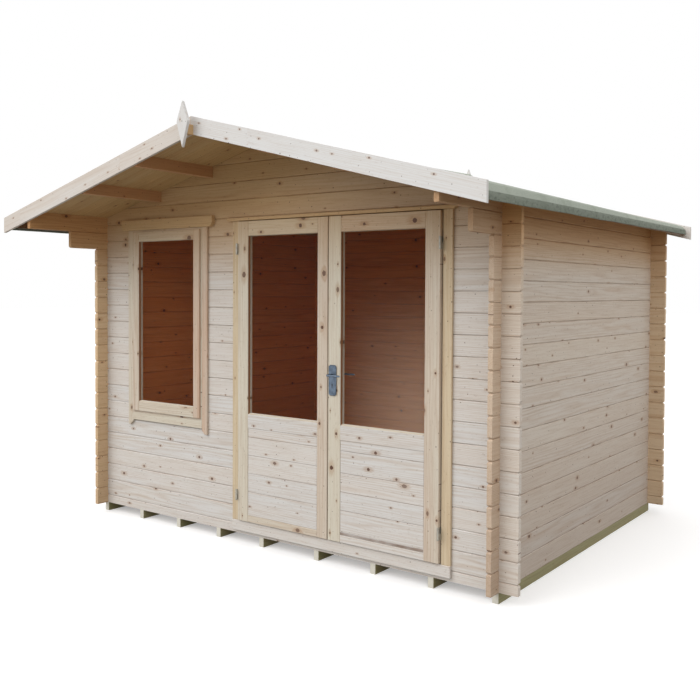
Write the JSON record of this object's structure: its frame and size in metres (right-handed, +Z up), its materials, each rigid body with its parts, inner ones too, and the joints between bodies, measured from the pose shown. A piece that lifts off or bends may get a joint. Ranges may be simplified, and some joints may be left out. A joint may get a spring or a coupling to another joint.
{
  "type": "log cabin",
  "caption": "Log garden cabin with interlocking walls, shallow felted gable roof, deep front canopy, fixed window and glazed double doors.",
  "frame": {"origin": "under the middle of the cabin, midway between the outermost faces each way, level with the underside of the bearers", "axes": "+Z up, -Y towards the front with the doors, +X to the right of someone facing the front"},
  "size_m": [3.7, 3.146, 2.6286],
  "materials": {
    "log_timber": "bare planed softwood, pale and weathered",
    "roof_timber": "bare softwood",
    "floor_timber": "bare softwood boards",
    "barge_timber": "bare planed softwood, almost white",
    "joinery_timber": "bare planed pine",
    "treated_timber": "pressure treated, green",
    "roofing_felt": "mineral bitumen felt, matt",
    "glazing": "clear single glass",
    "hinge_steel": "zinc plated",
    "handle_metal": "satin"
  },
  "bodies": {
    "cabin": {"bearers": "treated_timber", "floor": "floor_timber", "left_wall": "log_timber", "right_wall": "log_timber", "back_wall": "log_timber", "front_sill_log": "log_timber", "front_wall_left": "log_timber", "front_wall_right": "log_timber", "front_gable": "log_timber", "purlins_left": "roof_timber", "purlins_right": "roof_timber", "roof_boards_left": "roof_timber", "roof_boards_right": "roof_timber", "eave_batten_left": "roof_timber", "eave_batten_right": "roof_timber", "roof_felt_left": "roofing_felt", "roof_felt_right": "roofing_felt", "bargeboard_front_left": "barge_timber", "bargeboard_front_right": "barge_timber", "bargeboard_rear_left": "barge_timber", "bargeboard_rear_right": "barge_timber", "finial_front": "barge_timber", "finial_rear": "barge_timber", "door_sill": "joinery_timber", "door_jamb_left": "joinery_timber", "door_jamb_right": "joinery_timber", "door_head": "joinery_timber", "door_head_board": "joinery_timber", "window_trim": "joinery_timber", "window_frame": "joinery_timber", "window_head_board": "joinery_timber", "window_sash": "joinery_timber", "window_glass": "glazing", "left_jamb_hinges": "hinge_steel", "right_jamb_hinges": "hinge_steel"},
    "left_door": {"left_leaf_frame": "joinery_timber", "left_leaf_panel": "joinery_timber", "left_leaf_glass": "glazing", "left_leaf_hinges": "hinge_steel"},
    "right_door": {"right_leaf_frame": "joinery_timber", "right_leaf_panel": "joinery_timber", "right_leaf_glass": "glazing", "right_leaf_hinges": "hinge_steel", "handle_plates": "handle_metal"},
    "lever": {"door_lever": "handle_metal"}
  },
  "joints": [
    {"name": "left_door_hinge", "type": "hinge", "parent": "cabin", "child": "left_door", "pos_m": [-0.2305, -0.926, 0.3], "axis": [0, 0, -1], "range_deg": [0, 110]},
    {"name": "right_door_hinge", "type": "hinge", "parent": "cabin", "child": "right_door", "pos_m": [1.2585, -0.926, 0.3], "axis": [0, 0, 1], "range_deg": [0, 110]},
    {"name": "lever_turn", "type": "hinge", "parent": "right_door", "child": "lever", "pos_m": [0.537, -0.918, 1.114], "axis": [0, 1, 0], "range_deg": [0, 35], "stiffness_Nm_per_rad": 0.6, "springref_deg": -22.92}
  ]
}
